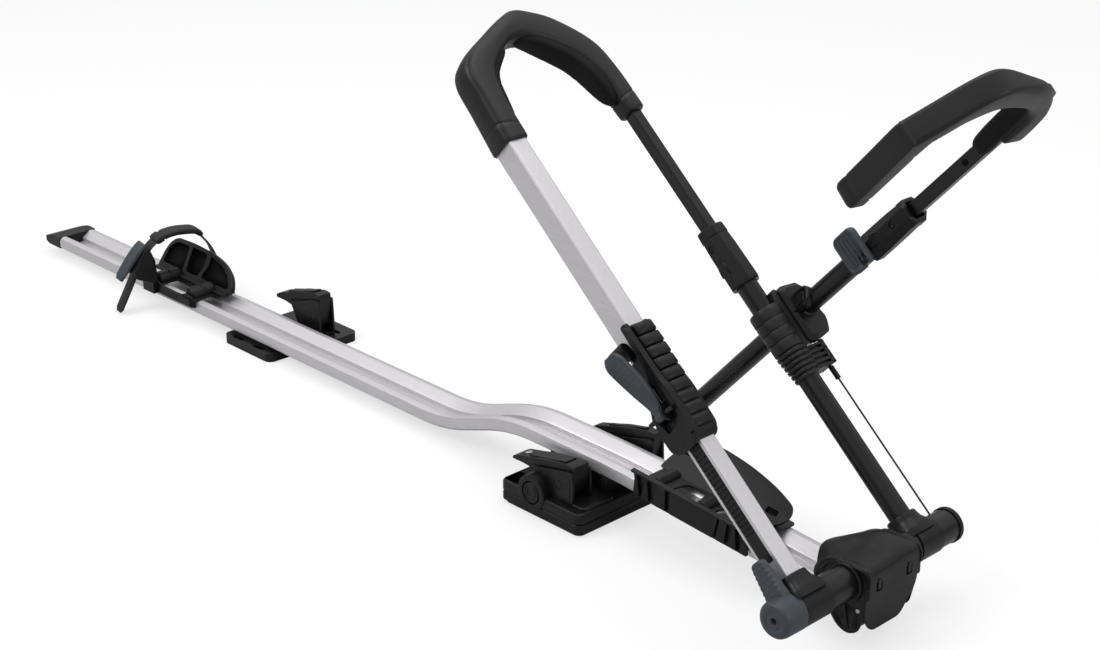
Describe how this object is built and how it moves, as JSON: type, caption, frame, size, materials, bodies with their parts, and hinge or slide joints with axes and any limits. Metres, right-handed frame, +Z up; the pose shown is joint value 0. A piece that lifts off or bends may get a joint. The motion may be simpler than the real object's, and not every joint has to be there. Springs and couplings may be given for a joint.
{
  "type": "roof mounted bike carrier",
  "caption": "Roof carrier for one upright bicycle: a rail with a folding hoop and hook that hold the front wheel, trays, a strap and crossbar clamps.",
  "frame": {"origin": "middle of the front foot's underside, where it rests on the crossbar", "axes": "+X forward along the rail towards the hoop pivot, +Z up"},
  "size_m": [1.925, 0.328, 0.6873],
  "materials": {
    "anodised_aluminium": "bead-blasted silver anodising",
    "black_metal": "satin black powder coat",
    "black_plastic": "fine-textured moulded black plastic",
    "black_rubber": "soft matte rubber",
    "grey_plastic": "blue-grey moulded plastic",
    "steel": "plain zinc-plated steel"
  },
  "bodies": {
    "carrier_rail": {"far_clamp_yoke": "black_plastic", "foot_base": "black_plastic", "foot_cover": "black_plastic", "foot_saddle": "black_plastic", "foot_sole": "black_rubber", "front_cover": "black_plastic", "housing_base": "black_plastic", "housing_shell": "black_plastic", "near_clamp_yoke": "black_plastic", "rail": "anodised_aluminium", "rail_end_cap": "black_plastic", "rear_clamp_yoke": "black_plastic", "rear_plate": "black_plastic", "tray_base": "black_plastic", "tray_flap": "black_plastic", "tray_wing": "black_plastic", "tube_bushes": "black_plastic"},
    "hoop": {"cross_tube": "black_metal", "cross_tube_cap": "black_plastic", "silver_leg_socket": "black_metal", "black_leg_socket": "black_metal", "silver_lower_bar": "anodised_aluminium", "tooth_strip": "black_plastic", "leg_tube": "black_metal", "leg_socket": "black_plastic", "collar_boot": "black_rubber", "hook_pin": "steel", "wire": "black_metal", "wire_ferrule": "black_plastic"},
    "hoop_upper": {"silver_upper_bar": "anodised_aluminium", "ratchet_body": "black_plastic", "ratchet_grip": "black_plastic", "ratchet_pawl": "steel", "ratchet_pin": "steel", "hoop_rod": "black_metal", "hoop_core": "black_metal", "hoop_pad": "black_rubber", "hoop_liner": "black_rubber"},
    "ratchet_lever": {"ratchet_lever": "grey_plastic"},
    "release_lever": {"release_lever": "grey_plastic"},
    "hook_arm": {"hook_hub": "black_plastic", "hook_tube": "black_metal", "hook_tube_cap": "black_plastic", "hook_socket": "black_plastic"},
    "hook_upper": {"hook_rod": "black_metal", "hook_pad": "black_rubber", "hook_liner": "black_rubber"},
    "hook_lever": {"hook_lock_lever": "grey_plastic"},
    "rear_tray": {"rear_tray_saddle": "black_plastic", "rear_side_plate": "black_plastic", "rear_wing": "black_plastic", "strap": "black_rubber", "strap_pad": "black_rubber", "buckle_body": "black_plastic", "buckle_stand": "black_plastic"},
    "buckle_lever": {"buckle_lever": "grey_plastic"},
    "foot_knob": {"foot_knob": "black_plastic"},
    "near_clamp_lever": {"near_clamp_lever": "black_plastic"},
    "far_clamp_lever": {"far_clamp_lever": "black_plastic"},
    "rear_clamp_lever": {"rear_clamp_lever": "black_plastic"}
  },
  "joints": [
    {"name": "hoop_pivot", "type": "hinge", "parent": "carrier_rail", "child": "hoop", "pos_m": [0.458, 0, 0.08], "axis": [0, 1, 0], "range_deg": [-38, 45]},
    {"name": "hoop_reach", "type": "slide", "parent": "hoop", "child": "hoop_upper", "axis": [-0.7466, 0, 0.6652], "range_m": [-0.14, 0.04]},
    {"name": "ratchet_lever_tilt", "type": "hinge", "parent": "hoop_upper", "child": "ratchet_lever", "pos_m": [0.26238, -0.152, 0.25429], "axis": [0.6652, 0, 0.7466], "range_deg": [0, 40]},
    {"name": "release_lever_turn", "type": "hinge", "parent": "hoop", "child": "release_lever", "pos_m": [0.458, -0.158, 0.08], "axis": [0, 1, 0], "range_deg": [-30, 15]},
    {"name": "hook_pivot", "type": "hinge", "parent": "hoop", "child": "hook_arm", "pos_m": [0.22505, 0.128, 0.28755], "axis": [0, 1, 0], "range_deg": [-50, 40]},
    {"name": "hook_reach", "type": "slide", "parent": "hook_arm", "child": "hook_upper", "axis": [0.6743, 0, 0.7385], "range_m": [-0.09, 0.06]},
    {"name": "hook_lock_lever_tilt", "type": "hinge", "parent": "hook_arm", "child": "hook_lever", "pos_m": [0.34585, 0.1037, 0.40204], "axis": [0.6743, 0, 0.7385], "range_deg": [0, 80]},
    {"name": "rear_tray_slide", "type": "slide", "parent": "carrier_rail", "child": "rear_tray", "axis": [1, 0, 0], "range_m": [-0.15, 0.09]},
    {"name": "buckle_lever_tilt", "type": "hinge", "parent": "rear_tray", "child": "buckle_lever", "pos_m": [-0.98517, -0.06011, 0.10614], "axis": [-0.9848, 0.1736, 0], "range_deg": [0, 60]},
    {"name": "foot_knob_turn", "type": "hinge", "parent": "carrier_rail", "child": "foot_knob", "pos_m": [-0.014, -0.09, 0.034], "axis": [0, 1, 0], "continuous": true},
    {"name": "near_clamp_tilt", "type": "hinge", "parent": "carrier_rail", "child": "near_clamp_lever", "pos_m": [0.02543, -0.0675, 0.05775], "axis": [0, 1, 0], "range_deg": [0, 55]},
    {"name": "far_clamp_tilt", "type": "hinge", "parent": "carrier_rail", "child": "far_clamp_lever", "pos_m": [0.04543, 0.053, 0.0636], "axis": [0, 1, 0], "range_deg": [0, 55]},
    {"name": "rear_clamp_tilt", "type": "hinge", "parent": "carrier_rail", "child": "rear_clamp_lever", "pos_m": [-0.68007, 0.065, 0.0464], "axis": [0, 1, 0], "range_deg": [0, 55]}
  ]
}
